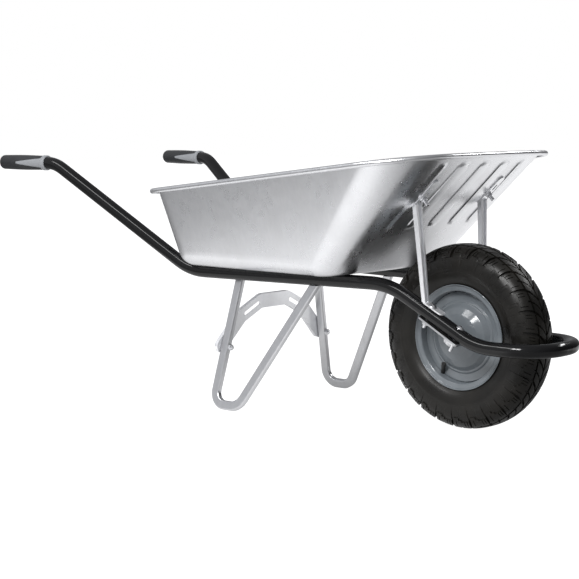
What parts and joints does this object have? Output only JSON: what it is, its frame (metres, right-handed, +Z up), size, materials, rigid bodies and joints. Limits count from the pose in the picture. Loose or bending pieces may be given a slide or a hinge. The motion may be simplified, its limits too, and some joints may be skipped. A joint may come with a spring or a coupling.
{
  "type": "wheelbarrow",
  "caption": "Builder's wheelbarrow: a deep sheet-steel tray on a bent tube frame with a bumper loop, a pneumatic wheel, V legs with an arched brace, and soft grips.",
  "frame": {"origin": "on the ground, in the middle of the overall length, on the mid plane", "axes": "+X forwards, towards the wheel; +Y to the left of the person pushing; +Z up"},
  "size_m": [1.482, 0.6006, 0.5952],
  "materials": {
    "tray_steel": "bright galvanised sheet",
    "galvanised": "zinc plated",
    "zinc": "bright zinc",
    "black_paint": "gloss black",
    "wheel_paint": "gloss grey",
    "tyre_rubber": "matt",
    "inner_rubber": "matt",
    "grip_core": "satin",
    "grip_pad": "soft matt",
    "bush_nylon": "satin"
  },
  "bodies": {
    "frame": {"frame_tube": "black_paint", "tray": "tray_steel", "leg_left": "galvanised", "leg_right": "galvanised", "leg_brace": "galvanised", "strut_left": "galvanised", "strut_right": "galvanised", "axle_bracket_left": "galvanised", "axle_bracket_right": "galvanised", "grip_core_left": "grip_core", "grip_core_right": "grip_core", "grip_pad_left": "grip_pad", "grip_pad_right": "grip_pad", "axle": "zinc", "axle_spacers": "zinc", "axle_washers": "zinc", "axle_nuts": "zinc", "tray_bolts": "zinc", "rail_bolts": "zinc", "leg_bolts": "zinc", "bracket_foot_bolts": "zinc", "bracket_tube_bolts": "zinc", "bracket_washers": "zinc", "bracket_nuts": "zinc", "strut_tab_bolts": "zinc", "strut_tab_washers": "zinc", "strut_tab_nuts": "zinc", "brace_bolts": "zinc", "brace_nuts": "zinc"},
    "wheel": {"tyre": "tyre_rubber", "inner_tube": "inner_rubber", "rim": "wheel_paint", "wheel_disc_left": "wheel_paint", "wheel_disc_right": "wheel_paint", "hub_tube": "wheel_paint", "wheel_bush_left": "bush_nylon", "wheel_bush_right": "bush_nylon", "valve_stem": "inner_rubber", "valve_cap": "bush_nylon"}
  },
  "joints": [
    {"name": "wheel_spin", "type": "hinge", "parent": "frame", "child": "wheel", "pos_m": [0.4855, 0, 0.2], "axis": [0, 1, 0], "continuous": true}
  ]
}
